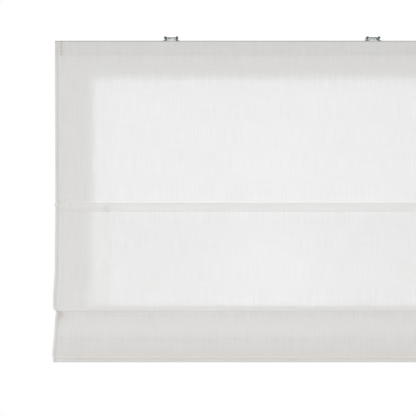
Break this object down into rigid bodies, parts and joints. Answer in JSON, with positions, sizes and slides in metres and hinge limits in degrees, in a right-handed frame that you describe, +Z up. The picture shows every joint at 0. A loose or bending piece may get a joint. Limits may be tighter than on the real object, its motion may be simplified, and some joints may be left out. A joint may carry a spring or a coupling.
{
  "type": "roman blind",
  "caption": "Roman blind of off-white woven cloth with batten pockets, shown partly raised, on a headrail with ceiling clips and a spring lift.",
  "frame": {"origin": "midway between the screw holes of the two clips, on the faces that meet the ceiling", "axes": "+Z up out of the clips into the ceiling, +X along the headrail, -Y towards the room"},
  "size_m": [1.008, 0.038, 0.7515],
  "materials": {
    "rail": "anodised, satin",
    "clip_steel": "zinc plated",
    "shaft_steel": "drawn",
    "white_plastic": "moulded, fine grain",
    "clear_plastic": "moulded, satin",
    "motor_plastic": "moulded, fine grain",
    "cloth": "plain weave with slubs",
    "grip_tape": "napped",
    "batten_rod": "drawn glass fibre rod",
    "cord": "braided",
    "bar": "rolled"
  },
  "bodies": {
    "headrail": {"headrail_channel": "rail", "hook_tape": "grip_tape", "loop_tape": "grip_tape", "spring_motor": "motor_plastic", "face_fabric": "cloth", "end_cap_left": "white_plastic", "end_cap_right": "white_plastic", "mounting_clip_left": "clip_steel", "mounting_clip_right": "clip_steel", "cradle_left": "white_plastic", "cradle_right": "white_plastic", "lift_cord_left": "cord", "lift_cord_right": "cord"},
    "lift_drive": {"lift_shaft": "shaft_steel", "spool_left": "white_plastic", "spool_right": "white_plastic"},
    "upper_batten": {"batten_1": "batten_rod", "pocket_tape_1": "cloth", "batten_1_tip_left": "white_plastic", "batten_1_tip_right": "white_plastic", "cord_ring_1_left": "clear_plastic", "cord_ring_1_right": "clear_plastic"},
    "middle_batten": {"batten_2": "batten_rod", "pocket_tape_2": "cloth", "batten_2_tip_left": "white_plastic", "batten_2_tip_right": "white_plastic", "cord_ring_2_left": "clear_plastic", "cord_ring_2_right": "clear_plastic"},
    "lower_batten": {"batten_3": "batten_rod", "pocket_tape_3": "cloth", "batten_3_tip_left": "white_plastic", "batten_3_tip_right": "white_plastic", "cord_ring_3_left": "clear_plastic", "cord_ring_3_right": "clear_plastic", "bottom_bar": "bar", "cord_stop_left": "clear_plastic", "cord_stop_right": "clear_plastic", "bar_cap_left": "white_plastic", "bar_cap_right": "white_plastic"}
  },
  "joints": [
    {"name": "upper_lift", "type": "slide", "parent": "headrail", "child": "upper_batten", "axis": [0, 0, 1], "range_m": [0, 0.331], "deforming": ["face_fabric", "lift_cord_left", "lift_cord_right"]},
    {"name": "middle_lift", "type": "slide", "parent": "upper_batten", "child": "middle_batten", "axis": [0, 0, 1], "range_m": [-0.016, 0.2055], "deforming": ["face_fabric", "lift_cord_left", "lift_cord_right"]},
    {"name": "lower_lift", "type": "slide", "parent": "middle_batten", "child": "lower_batten", "axis": [0, 0, 1], "range_m": [-0.09, 0.038], "deforming": ["face_fabric", "lift_cord_left", "lift_cord_right"]},
    {"name": "shaft_spin", "type": "hinge", "parent": "headrail", "child": "lift_drive", "pos_m": [0, 0.0038, -0.0285], "axis": [1, 0, 0], "continuous": true}
  ],
  "couplings": [
    {"joint": "shaft_spin", "follows": "lower_lift", "rad_per_m": -153.85}
  ]
}
